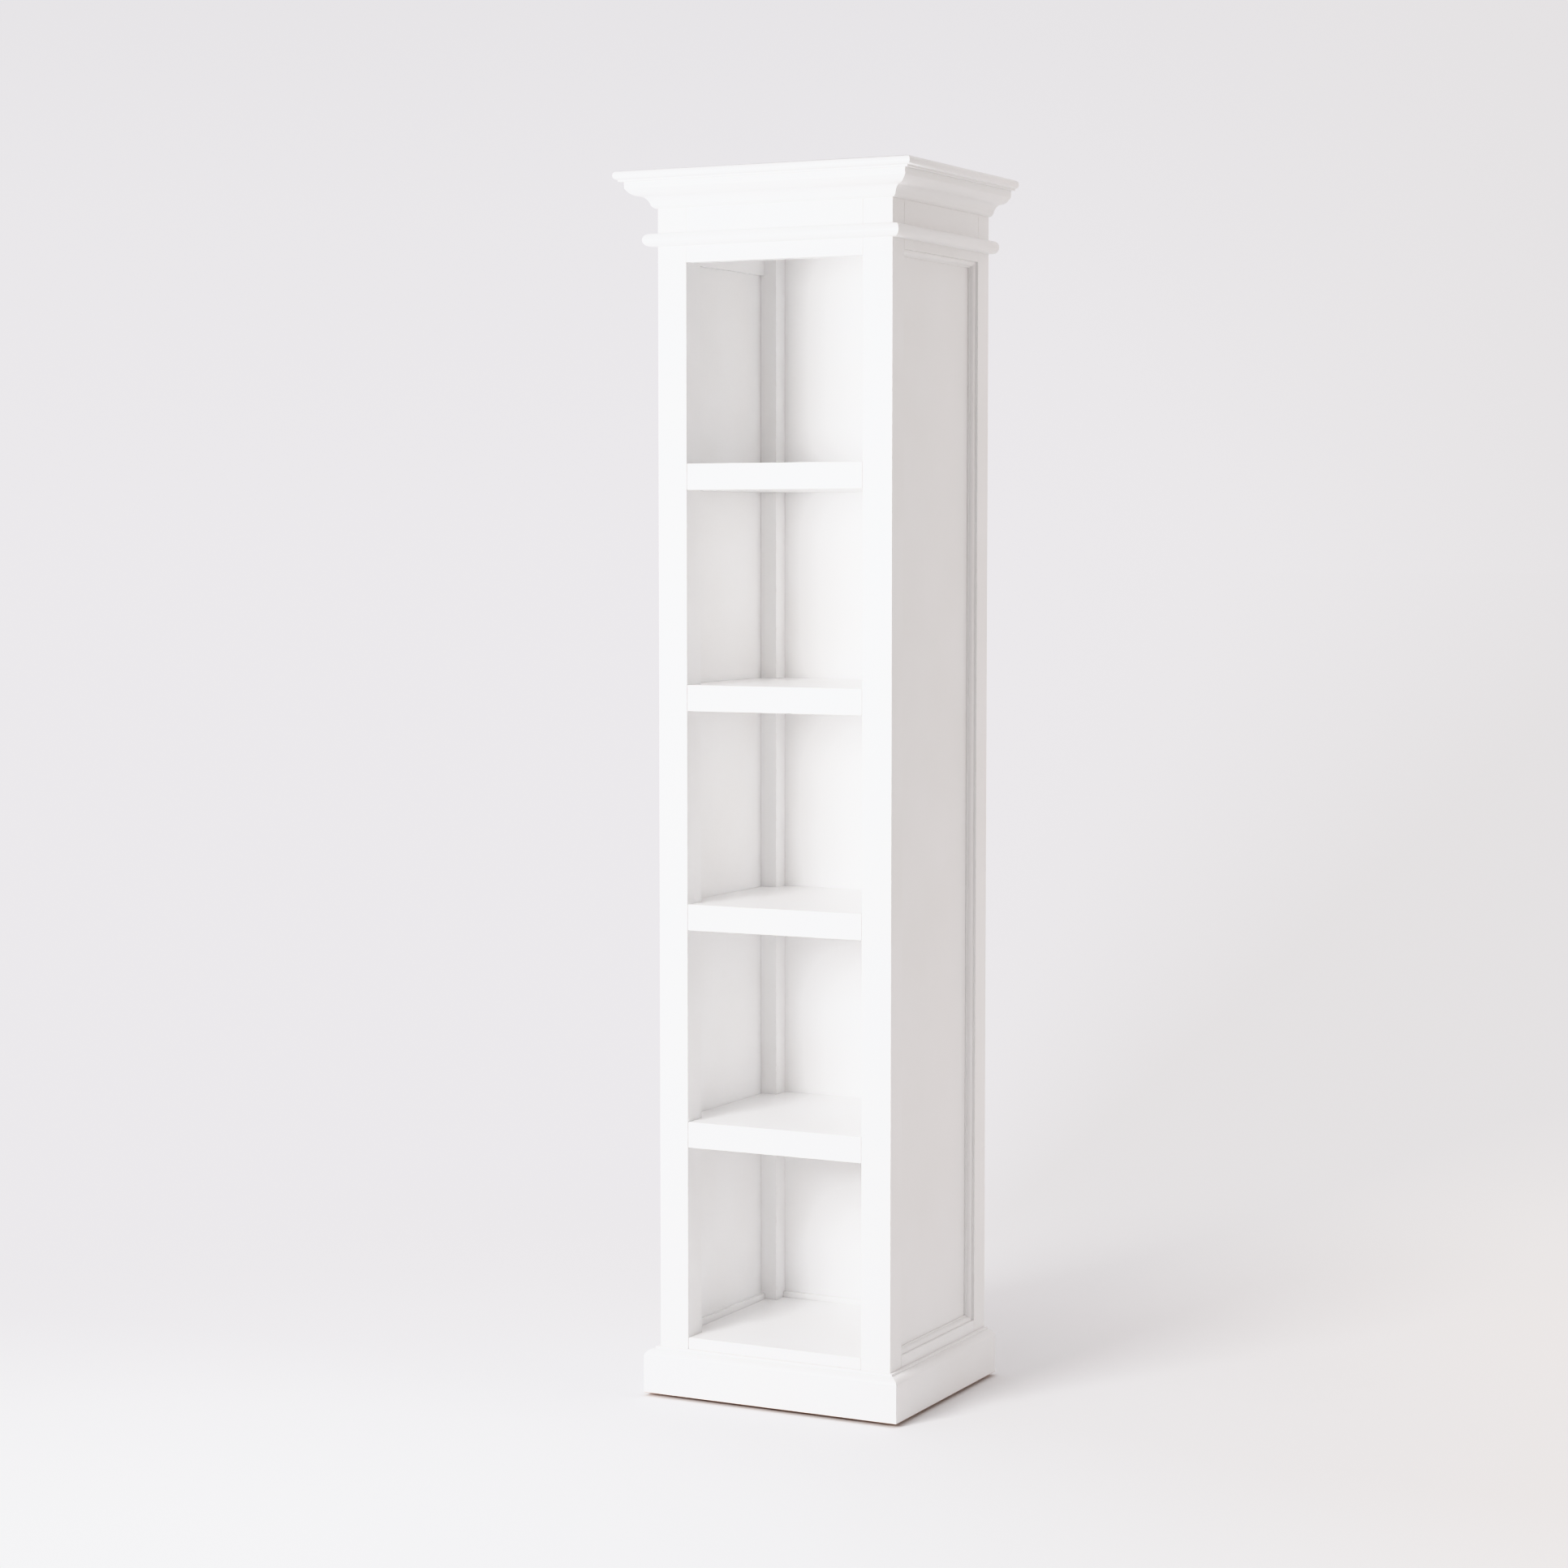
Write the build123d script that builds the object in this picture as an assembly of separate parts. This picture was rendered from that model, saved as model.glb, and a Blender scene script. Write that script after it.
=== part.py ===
from build123d import *
import os

# Tall narrow open bookcase: painted frame-and-panel carcass, fixed shelves, crown, astragal and plinth.
# Millimetres.  +Z up, front towards -Y, origin on the floor under the centre of the overall box.

# Overall box
overall_width = 500.0
overall_depth = 405.0
overall_height = 1900.0

# Carcass frame
cornice_projection = 51.0      # how far the top board oversails the carcass, front and sides
post_face = 49.0               # post width seen from the front
front_post_depth = 46.0
rear_post_depth = 53.0
stile_show = 41.0              # post width left showing on the side, outside the panel recess
frame_thickness = 28.0         # side and back rails
front_rail_thickness = 25.0
glide_height = 5.5
low_rail_clearance = 14.5      # posts stand this much lower than the bottom rails

# Panels and the mouldings that hold them
panel_inset = 13.5
panel_thickness = 7.5
bead_width = 9.0
bead_top_inset = 4.0
bead_top_flat = 1.8
bead_step_width = 1.8
bead_step_height = 3.2

# Heights
frieze_show = 38.0             # plain frieze between the crown and the astragal
front_rail_show = 25.0         # front rail below the astragal
side_rail_show = 15.0          # side rail below the astragal
back_rail_height = 88.0
floor_top = 95.5
floor_thickness = 18.0

# Shelves
shelf_count = 4
shelf_thickness = 40.0
top_compartment_extra = 6.5    # the top compartment is this much taller than the others
lip_depth = 18.0
lip_setback = 0.4
lip_tongue_depth = 7.0
lip_tongue_height = 10.0

# Top board and mouldings
top_board_thickness = 16.0
nose_thickness = 13.5
nose_radius = 6.4
fillet_inset = 6.4             # face of the thin fillet, back from the nose
crown_height = 39.0
crown_projection = 37.8
astragal_height = 20.0
astragal_projection = 18.0
plinth_top = 77.5
plinth_thickness = 19.5

# Crown section: places out from the carcass and up from the crown's lower edge
crown_bead_end = (8.0, 5.2)
crown_cove_middle = (10.3, 11.0)
crown_cove_end = (16.4, 17.0)
crown_step_end = (18.4, 17.8)
crown_ovolo_middle = (31.5, 22.0)
crown_ovolo_top = 28.2
crown_fascia_foot = 29.5
crown_fascia_quirk = 0.9       # the ovolo ends this far behind the fascia

# Plinth section: depths below its top edge, and places out from the carcass
plinth_round_drop = 13.0
plinth_ovolo_drop = 6.2
plinth_step_drop = 3.2
plinth_ovolo_out = 14.6
plinth_ovolo_end = 6.2
plinth_lip_out = 5.6

# Cove of the side bead
bead_cove_run = 1.6            # middle of the cove, out from the step
bead_cove_drop = 2.2           # and below the bead's top

# Joints
tenon_length = 24.0
tenon_thickness = 8.0
tenon_shoulder = 10.0
tenon_setback = 7.0            # outer face of the rail to the cheek of the tenon
front_tenon_length = 20.0
front_tenon_extra = 1.5        # the front tenons sit this much deeper, in the thinner rail
back_tenon_length = 16.0
dowel_diameter = 8.0
dowel_in_post = 20.0
dowel_in_shelf = 25.0
front_dowel_back = 13.0        # front shelf dowels, behind the lip
rear_dowel_back = 17.0         # rear shelf dowels, behind the rear post's front
top_dowel_length = 22.0
top_dowel_drop = 1.0           # middle of a top dowel, below the carcass top
top_dowel_room = 1.0           # its hole is this much longer

# Clearances
glue_gap = 0.1                 # all round tenons, tongues and dowels
mortise_end_gap = 1.0
shelf_gap = 0.8                # shelf to post, panel and back
floor_gap = 1.0
panel_gap = 1.0                # panel edge to the rebate's wall

# Small fittings
cleat_size = 18.0
glide_radius = 12.0
nail_radius = 1.25
nail_length = 18.0
nail_head_height = 1.2
nail_head_radius = 3.75
nail_head_level = 2.2
glide_rounding = 2.475
pin_radius = 0.8
pin_in_carcass = 14.0
crown_pin_level = 27.0         # up from the crown's lower edge
crown_pin_bury = 12.0          # pin inside the moulding
astragal_pin_bury = 6.0
plinth_pin_level = 38.0        # up from the plinth's lower edge
plinth_pin_bury = 9.0
front_pin_count = 3
side_pin_count = 2
bead_pin_radius = 0.6
bead_pin_depth = 14.0
bead_pin_margin = 1.0
bead_pin_count = 6
screw_radius = 2.0
screw_head_radius = 4.0
screw_length = 34.0
cleat_screw_count = 3

# Worked-out places
half_width = overall_width / 2 - cornice_projection
front_y = -overall_depth / 2 + cornice_projection
back_y = overall_depth / 2
post_inner_x = half_width - post_face
rebate_depth = panel_inset + panel_thickness
panel_inner_x = half_width - rebate_depth
rail_inner_x = half_width - frame_thickness
panel_front_y = back_y - rebate_depth
rail_front_y = back_y - frame_thickness
front_post_back = front_y + front_post_depth
rear_post_front = back_y - rear_post_depth
side_start_y = front_y + stile_show
side_end_y = back_y - stile_show
carcass_top = overall_height - top_board_thickness
low_rail_bottom = glide_height + low_rail_clearance
floor_bottom = floor_top - floor_thickness
crown_bottom = carcass_top - crown_height
astragal_bottom = crown_bottom - frieze_show - astragal_height
opening_top = astragal_bottom - front_rail_show
frieze_lip = astragal_bottom - side_rail_show - bead_width
back_frieze_lip = carcass_top - back_rail_height
shelf_pitch = (opening_top - top_compartment_extra + shelf_thickness - floor_top) / (shelf_count + 1)
shelf_tops = [floor_top + shelf_pitch * (i + 1) for i in range(shelf_count)]
tenon_x = half_width - tenon_setback - tenon_thickness
back_stile_x = post_inner_x + bead_width
reach = 4 * cornice_projection


def block(x, y, z):
    """A box given by its low and high limit along each axis."""
    size = Box(x[1] - x[0], y[1] - y[0], z[1] - z[0])
    return Pos((x[0] + x[1]) / 2, (y[0] + y[1]) / 2, (z[0] + z[1]) / 2) * size


def rod(start, axis, length, radius):
    """A round rod that starts at a point and runs along an axis."""
    plane = Plane(origin=start, z_dir=axis)
    return extrude(plane * Circle(radius), length)


def mirrored(solid):
    """The left-hand twin of a right-hand piece."""
    return mirror(solid, about=Plane.YZ)


def prism(points, z):
    """A vertical prism over a polygon given by its corners in plan."""
    face = make_face(Polyline(*points, close=True))
    return Pos(0, 0, z[0]) * extrude(face, z[1] - z[0], dir=(0, 0, 1))


# ---------------------------------------------------------------- carcass frame

def mortise(tenon):
    """The pocket for a tenon: glue room on the cheeks, a small void at the end."""
    box = tenon.bounding_box()
    grow_x = mortise_end_gap if tenon.label == "x" else glue_gap
    grow_y = mortise_end_gap if tenon.label == "y" else glue_gap
    low, high = box.min, box.max
    return block((low.X - grow_x, high.X + grow_x), (low.Y - grow_y, high.Y + grow_y),
                 (low.Z - glue_gap, high.Z + glue_gap))


def labelled(solid, name):
    """A solid that carries a short label."""
    solid.label = name
    return solid


def side_tenons(z):
    """The two tenons of a right-hand side rail, front and rear; their label is the axis they run along."""
    cheeks = (tenon_x, tenon_x + tenon_thickness)
    heights = (z[0] + tenon_shoulder, z[1] - tenon_shoulder)
    ends = [(side_start_y - tenon_length, side_start_y), (side_end_y, side_end_y + tenon_length)]
    return [labelled(block(cheeks, end, heights), "y") for end in ends]


def cross_tenon(x_start, length, y_cheek, thickness, z):
    """The right-hand tenon of a front or back rail."""
    heights = (z[0] + tenon_shoulder, z[1] - tenon_shoulder)
    return labelled(block((x_start, x_start + length), (y_cheek, y_cheek + thickness), heights), "x")


front_tenon_y = front_y + tenon_setback + front_tenon_extra
back_tenon_y = back_y - tenon_setback - tenon_thickness
side_top_z = (frieze_lip + bead_width, carcass_top)
side_low_z = (low_rail_bottom, floor_top)
back_top_z = (back_frieze_lip + bead_width, carcass_top)
front_top_z = (opening_top, carcass_top)
front_low_z = (low_rail_bottom, floor_bottom)

front_tenons = [cross_tenon(post_inner_x, front_tenon_length, front_tenon_y, tenon_thickness, z)
                for z in (front_top_z, front_low_z)]
back_tenons = [cross_tenon(back_stile_x, back_tenon_length, back_tenon_y, tenon_thickness, z)
               for z in (back_top_z, side_low_z)]
top_side_tenons = side_tenons(side_top_z)
low_side_tenons = side_tenons(side_low_z)


def side_rail(z, lip_z, tenons):
    """A right-hand side rail: full rail, inner lip behind the panel, two tenons."""
    rail = block((panel_inner_x, half_width), (side_start_y, side_end_y), z)
    rail += block((rail_inner_x, panel_inner_x), (front_post_back, rear_post_front), lip_z)
    return rail + tenons[0] + tenons[1]


def back_rail(z, lip_z, tenon):
    """A back rail: it laps over the posts' rebates and carries a lip before the panel."""
    rail = block((-back_stile_x, back_stile_x), (panel_front_y, back_y), z)
    rail += block((-post_inner_x, post_inner_x), (rail_front_y, panel_front_y), lip_z)
    return rail + tenon + mirrored(tenon)


def front_rail(z, tenon):
    """A front rail between the posts."""
    rail = block((-post_inner_x, post_inner_x), (front_y, front_y + front_rail_thickness), z)
    return rail + tenon + mirrored(tenon)


def front_post():
    """The right-hand front post with its side rebate and mortises."""
    post = block((post_inner_x, half_width), (front_y, front_post_back), (glide_height, carcass_top))
    post -= block((panel_inner_x, half_width), (side_start_y, front_post_back), (0, overall_height))
    for tenon in front_tenons + [top_side_tenons[0], low_side_tenons[0]]:
        post -= mortise(tenon)
    return post


def rear_post():
    """The right-hand rear post, rebated on the side and on the back."""
    post = block((post_inner_x, half_width), (rear_post_front, back_y), (glide_height, carcass_top))
    post -= block((panel_inner_x, half_width), (rear_post_front, side_end_y), (0, overall_height))
    post -= block((post_inner_x, back_stile_x), (panel_front_y, back_y), (0, overall_height))
    for tenon in back_tenons + [top_side_tenons[1], low_side_tenons[1]]:
        post -= mortise(tenon)
    return post


# ---------------------------------------------------------------- panels and beads

def side_panel():
    """The right-hand side panel, lying against the rebate's floor."""
    return block((panel_inner_x, half_width - panel_inset),
                 (side_start_y + panel_gap, side_end_y - panel_gap),
                 (floor_top + panel_gap, side_top_z[0] - panel_gap))


def back_panel():
    """The back panel, dropped into its rebate from behind."""
    edge = back_stile_x - panel_gap
    return block((-edge, edge), (panel_front_y, back_y - panel_inset),
                 (floor_top + panel_gap, back_top_z[0] - panel_gap))


def bead_section(sunk):
    """The stepped bead's section: X from the sight edge to the recess wall, Y outwards from the panel."""
    top = panel_inset - sunk
    foot = bead_width - bead_top_flat
    cove = ThreePointArc((bead_step_width, bead_step_height),
                         (bead_step_width + bead_cove_run, top - bead_cove_drop), (foot, top))
    rest = Polyline((foot, top), (bead_width, top), (bead_width, 0), (0, 0), (0, bead_step_height),
                    (bead_step_width, bead_step_height))
    return make_face([cove, rest])


def plain_section():
    """The plain square bead of the back panel."""
    return Rectangle(bead_width, bead_width, align=(Align.MIN, Align.MIN))


def bead_frame(section, width, height):
    """Four beads mitred into a frame about the origin in XY; the sunk panel is at Z = 0.
    Returns them as left, right, bottom, top."""
    hw, hh = width / 2, height / 2
    deep = 2 * panel_inset

    def upright():
        plane = Plane(origin=(-hw + bead_width, -hh, 0), x_dir=(-1, 0, 0), z_dir=(0, 1, 0))
        return extrude(plane * section, height)

    def sill():
        plane = Plane(origin=(hw, -hh + bead_width, 0), x_dir=(0, -1, 0), z_dir=(-1, 0, 0))
        return extrude(plane * section, width)

    def wedge(points):
        return prism(points, (-deep, deep))

    left = upright() & wedge([(-hw, -hh), (-hw, hh), (-hw + bead_width, hh - bead_width),
                              (-hw + bead_width, -hh + bead_width)])
    low = sill() & wedge([(-hw, -hh), (hw, -hh), (hw - bead_width, -hh + bead_width),
                          (-hw + bead_width, -hh + bead_width)])
    return [left, mirror(left, about=Plane.YZ), low, mirror(low, about=Plane.XZ)]


def side_beads():
    """The right-hand side's beads, as front, rear, bottom, top."""
    width = side_end_y - side_start_y
    height = side_top_z[0] - floor_top
    place = Plane(origin=(half_width - panel_inset, (side_start_y + side_end_y) / 2,
                          (floor_top + side_top_z[0]) / 2), x_dir=(0, 1, 0), z_dir=(1, 0, 0))
    return [place.location * bead for bead in bead_frame(bead_section(bead_top_inset), width, height)]


def back_beads():
    """The plain beads that hold the back panel, as right, left, bottom, top seen from the front."""
    width = 2 * back_stile_x
    height = back_top_z[0] - floor_top
    place = Plane(origin=(0, back_y - panel_inset, (floor_top + back_top_z[0]) / 2),
                  x_dir=(-1, 0, 0), z_dir=(0, 1, 0))
    return [place.location * bead for bead in bead_frame(plain_section(), width, height)]


# ---------------------------------------------------------------- shelves and floor

def notched_plan(front, wide_x, wide, narrow_x, back, z):
    """A board narrow between the posts and wide between the sides; wide is its Y range."""
    board = block((-narrow_x, narrow_x), (front, back), z)
    return board + block((-wide_x, wide_x), wide, z)


def shelf_dowel(side, at_y, z):
    """A dowel that runs from a shelf into a post; side is 1 on the right."""
    start = post_inner_x - shelf_gap - dowel_in_shelf
    return rod((side * start, at_y, z), (side, 0, 0), dowel_in_shelf + shelf_gap + dowel_in_post,
               dowel_diameter / 2)


def shelf_dowel_hole(side, at_y, z):
    """The hole for a shelf dowel, a little wider and longer."""
    start = post_inner_x - shelf_gap - dowel_in_shelf - mortise_end_gap
    length = dowel_in_shelf + shelf_gap + dowel_in_post + 2 * mortise_end_gap
    return rod((side * start, at_y, z), (side, 0, 0), length, dowel_diameter / 2 + glue_gap)


dowel_ys = (front_y + lip_depth + front_dowel_back, rear_post_front + rear_dowel_back)
dowel_spots = [(at_y, top - shelf_thickness / 2) for top in shelf_tops for at_y in dowel_ys]


def shelf(top):
    """A fixed shelf board, notched round the posts and grooved for its lip."""
    z = (top - shelf_thickness, top)
    lip_back = front_y + lip_depth
    board = notched_plan(lip_back, panel_inner_x - shelf_gap,
                         (front_post_back + shelf_gap, rear_post_front - shelf_gap),
                         post_inner_x - shelf_gap, panel_front_y - shelf_gap, z)
    mid = (z[0] + z[1]) / 2
    groove = lip_tongue_height / 2 + glue_gap
    board -= block((-half_width, half_width), (lip_back, lip_back + lip_tongue_depth + mortise_end_gap),
                   (mid - groove, mid + groove))
    for side in (1, -1):
        for at_y in dowel_ys:
            board -= shelf_dowel_hole(side, at_y, mid)
    return board


def shelf_lip(top):
    """The solid front edge of a shelf, with a tongue into the board."""
    edge = post_inner_x - shelf_gap
    mid = top - shelf_thickness / 2
    lip_back = front_y + lip_depth
    lip = block((-edge, edge), (front_y + lip_setback, lip_back), (top - shelf_thickness, top))
    lip += block((-edge, edge), (lip_back, lip_back + lip_tongue_depth),
                 (mid - lip_tongue_height / 2, mid + lip_tongue_height / 2))
    return lip


def floor_board():
    """The bottom board: over the front rail, between the side rails, against the back rail."""
    return notched_plan(front_y + lip_setback, rail_inner_x - floor_gap,
                        (front_post_back + floor_gap, rear_post_front - floor_gap),
                        post_inner_x - floor_gap, rail_front_y - floor_gap, (floor_bottom, floor_top))


def floor_cleat():
    """The right-hand strip under the floor board."""
    return block((rail_inner_x - cleat_size, rail_inner_x),
                 (front_post_back + floor_gap, rear_post_front - floor_gap),
                 (floor_bottom - cleat_size, floor_bottom))


# ---------------------------------------------------------------- mouldings

def crown_section():
    """Crown section: X outwards from the carcass, Y up from its lower edge: bead, cove, ovolo, fascia."""
    top = crown_height
    out = crown_projection
    ovolo_end = (out - crown_fascia_quirk, crown_ovolo_top)
    lower = TangentArc((0, 0), crown_bead_end, tangent=(1, 0))
    cove = ThreePointArc(crown_bead_end, crown_cove_middle, crown_cove_end)
    step = Line(crown_cove_end, crown_step_end)
    ovolo = ThreePointArc(crown_step_end, crown_ovolo_middle, ovolo_end)
    rest = Polyline(ovolo_end, (out, crown_fascia_foot), (out, top), (0, top), (0, 0))
    return make_face([lower, cove, step, ovolo, rest])


def astragal_section():
    """Astragal section: a flat shelf with a half-round nose and a small quirk under it."""
    radius = astragal_height / 2
    flat = astragal_projection - radius
    nose = ThreePointArc((flat, 0), (astragal_projection, radius), (flat, astragal_height))
    rest = Polyline((flat, astragal_height), (0, astragal_height), (0, 0), (flat, 0))
    return make_face([nose, rest])


def plinth_section():
    """Plinth section: plain face, ovolo and a small step at the top."""
    height = plinth_top - glide_height
    round_z = height - plinth_round_drop
    step_z = height - plinth_step_drop
    ovolo = ThreePointArc((plinth_thickness, round_z), (plinth_ovolo_out, height - plinth_ovolo_drop),
                          (plinth_ovolo_end, step_z))
    rest = Polyline((plinth_ovolo_end, step_z), (plinth_lip_out, step_z), (plinth_lip_out, height), (0, height),
                    (0, 0), (plinth_thickness, 0), (plinth_thickness, round_z))
    return make_face([ovolo, rest])


def mitred_front(section, z0):
    """A moulding along the front, mitred at both ends."""
    start = half_width + reach
    plane = Plane(origin=(start, front_y, z0), x_dir=(0, -1, 0), z_dir=(-1, 0, 0))
    bar = extrude(plane * section, 2 * start)
    wedge = prism([(-half_width, front_y), (half_width, front_y), (half_width + reach, front_y - reach),
                   (-half_width - reach, front_y - reach)], (0, overall_height))
    return bar & wedge


def mitred_side(section, z0):
    """The same moulding along the right-hand side, mitred at the front, square at the back."""
    plane = Plane(origin=(half_width, back_y, z0), x_dir=(1, 0, 0), z_dir=(0, -1, 0))
    bar = extrude(plane * section, overall_depth + reach)
    wedge = prism([(half_width, front_y), (half_width, back_y), (half_width + reach, back_y),
                   (half_width + reach, front_y - reach)], (0, overall_height))
    return bar & wedge


def top_board():
    """The cap: a thin fillet with a bullnosed board over it, square at the back."""
    half = overall_width / 2
    nose_z = (overall_height - nose_thickness, overall_height)
    board = block((-half, half), (-overall_depth / 2, back_y), nose_z)
    shaped = [e for e in board.edges().filter_by(Axis.X) if e.center().Y < 0]
    shaped += board.edges().filter_by(Axis.Y)
    board = fillet(shaped, nose_radius)
    inner = half - fillet_inset
    board += block((-inner, inner), (-overall_depth / 2 + fillet_inset, back_y), (carcass_top, nose_z[0]))
    for hole in top_dowels(top_dowel_length + top_dowel_room, dowel_diameter / 2 + glue_gap):
        board -= hole
    return board


# ---------------------------------------------------------------- dowels, pins, screws and glides

def post_middles():
    """Centres of the four posts in plan."""
    x = (post_inner_x + half_width) / 2
    front = front_y + stile_show / 2
    back = back_y - stile_show / 2
    return [(side * x, y) for side in (-1, 1) for y in (front, back)]


def top_dowels(length, radius):
    """Upright dowels between the posts and the top board."""
    middle = carcass_top - top_dowel_drop
    return [rod((x, y, middle - length / 2), (0, 0, 1), length, radius) for x, y in post_middles()]


def spaced(low, high, count):
    """Evenly spaced places between two limits, half a step in from each."""
    step = (high - low) / count
    return [low + step * (i + 0.5) for i in range(count)]


def moulding_pins():
    """Pins that hold crown, astragal and plinth to the carcass, as (start, axis, length)."""
    levels = [(crown_bottom + crown_pin_level, crown_pin_bury),
              (astragal_bottom + astragal_height / 2, astragal_pin_bury),
              (glide_height + plinth_pin_level, plinth_pin_bury)]
    pins = []
    for z, bury in levels:
        length = bury + pin_in_carcass
        for x in spaced(-post_inner_x, post_inner_x, front_pin_count):
            pins.append(((x, front_y - bury, z), (0, 1, 0), length))
        for y in spaced(side_start_y, side_end_y, side_pin_count):
            pins.append(((half_width + bury, y, z), (-1, 0, 0), length))
            pins.append(((-half_width - bury, y, z), (1, 0, 0), length))
    return pins


def bead_pins():
    """Fine pins through the beads into posts, as (start, axis, length)."""
    x = half_width - panel_inset + bead_step_height / 2
    y = back_y - panel_inset + bead_width / 2
    pins = []
    start = bead_width - bead_pin_margin
    for z in spaced(floor_top, side_top_z[0], bead_pin_count):
        for side in (-1, 1):
            pins.append(((side * x, side_start_y + start, z), (0, -1, 0), bead_pin_depth))
            pins.append(((side * x, side_end_y - start, z), (0, 1, 0), bead_pin_depth))
            pins.append(((side * (post_inner_x + bead_pin_margin), y, z), (side, 0, 0), bead_pin_depth))
    return pins


def cleat_screws():
    """Screws through the floor cleats into the side rails."""
    z = floor_bottom - cleat_size / 2
    start = rail_inner_x - cleat_size
    solids = []
    for y in spaced(front_post_back, rear_post_front, cleat_screw_count):
        for side in (-1, 1):
            body = rod((side * start, y, z), (side, 0, 0), screw_length, screw_radius)
            head = extrude(Plane(origin=(side * start, y, z), z_dir=(side, 0, 0)) * Circle(screw_head_radius),
                           screw_head_radius - screw_radius, taper=45)
            solids.append(body + head)
    return solids


def drilled(solid, tools):
    """A piece with every tool that meets its box cut out of it."""
    box = solid.bounding_box()
    for tool in tools:
        other = tool.bounding_box()
        apart = (other.max.X < box.min.X or other.min.X > box.max.X or other.max.Y < box.min.Y
                 or other.min.Y > box.max.Y or other.max.Z < box.min.Z or other.min.Z > box.max.Z)
        if not apart:
            solid = solid - tool
    return solid


def glide(x, y):
    """A nail-on glide: a low dome under a post."""
    disc = extrude(Pos(x, y, 0) * Circle(glide_radius), glide_height)
    disc = fillet(disc.edges().sort_by(Axis.Z)[0], glide_rounding)
    return disc


def glide_nail(x, y):
    """The nail of a glide: its head lies inside the disc and its shank goes up into the post."""
    head_z = nail_head_level
    shank = rod((x, y, head_z), (0, 0, 1), nail_length + glide_height - head_z, nail_radius)
    return shank + rod((x, y, head_z), (0, 0, 1), nail_head_height, nail_head_radius)


# ---------------------------------------------------------------- assembly

parts = {}
for name, piece in (("front", front_post()), ("rear", rear_post())):
    parts[f"post_{name}_right"] = piece
    parts[f"post_{name}_left"] = mirrored(piece)

parts["rail_front_top"] = front_rail(front_top_z, front_tenons[0])
parts["rail_front_bottom"] = front_rail(front_low_z, front_tenons[1])
parts["rail_back_top"] = back_rail(back_top_z, (back_frieze_lip, carcass_top), back_tenons[0])
parts["rail_back_bottom"] = back_rail(side_low_z, (low_rail_bottom, floor_top + bead_width), back_tenons[1])
top_rail = side_rail(side_top_z, (frieze_lip, carcass_top), top_side_tenons)
low_rail = side_rail(side_low_z, (low_rail_bottom, floor_top + bead_width), low_side_tenons)
for name, piece in (("rail_side_top", top_rail), ("rail_side_bottom", low_rail),
                    ("side_panel", side_panel()), ("floor_cleat", floor_cleat())):
    parts[f"{name}_right"] = piece
    parts[f"{name}_left"] = mirrored(piece)
for name, piece in zip(("front", "rear", "bottom", "top"), side_beads()):
    parts[f"side_bead_{name}_right"] = piece
    parts[f"side_bead_{name}_left"] = mirrored(piece)
parts["back_panel"] = back_panel()
for name, piece in zip(("right", "left", "bottom", "top"), back_beads()):
    parts[f"back_bead_{name}"] = piece

for number, level in enumerate(shelf_tops, start=1):
    parts[f"shelf_{number}"] = shelf(level)
    parts[f"shelf_lip_{number}"] = shelf_lip(level)
parts["floor_board"] = floor_board()

parts["top_board"] = top_board()
for name, section, base in (("crown", crown_section(), crown_bottom),
                            ("astragal", astragal_section(), astragal_bottom),
                            ("plinth", plinth_section(), glide_height)):
    parts[f"{name}_front"] = mitred_front(section, base)
    parts[f"{name}_right"] = mitred_side(section, base)
    parts[f"{name}_left"] = mirrored(parts[f"{name}_right"])

pins = [rod(start, axis, length, pin_radius) for start, axis, length in moulding_pins()]
fine_pins = [rod(start, axis, length, bead_pin_radius) for start, axis, length in bead_pins()]
screws = cleat_screws()
upright_dowels = top_dowels(top_dowel_length, dowel_diameter / 2)
upright_holes = top_dowels(top_dowel_length + top_dowel_room, dowel_diameter / 2 + glue_gap)
shelf_dowels = [shelf_dowel(side, at_y, z) for at_y, z in dowel_spots for side in (-1, 1)]
shelf_holes = [shelf_dowel_hole(side, at_y, z) for at_y, z in dowel_spots for side in (-1, 1)]
glide_nails = [glide_nail(x, y) for x, y in post_middles()]

cuts = pins + fine_pins + screws + upright_holes + shelf_holes + glide_nails
drilled_names = ("post_", "rail_", "side_bead_", "back_bead_", "crown_", "astragal_", "plinth_", "floor_cleat_")
for name in list(parts):
    if name.startswith(drilled_names):
        parts[name] = drilled(parts[name], cuts)

corners = ("front_left", "rear_left", "front_right", "rear_right")
for name, (x, y), nail in zip(corners, post_middles(), glide_nails):
    parts[f"glide_{name}"] = glide(x, y) - nail

parts["glide_nails"] = Compound(children=glide_nails)
parts["moulding_pins"] = Compound(children=pins)
parts["bead_pins"] = Compound(children=fine_pins)
parts["cleat_screws"] = Compound(children=screws)
parts["top_dowels"] = Compound(children=upright_dowels)
parts["shelf_dowels"] = Compound(children=shelf_dowels)

os.makedirs("parts", exist_ok=True)
for name, piece in parts.items():
    export_step(piece, f"parts/{name}.step")
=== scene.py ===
import logging
import math
from dataclasses import dataclass
from enum import Enum
from typing import Callable, Sequence

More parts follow.
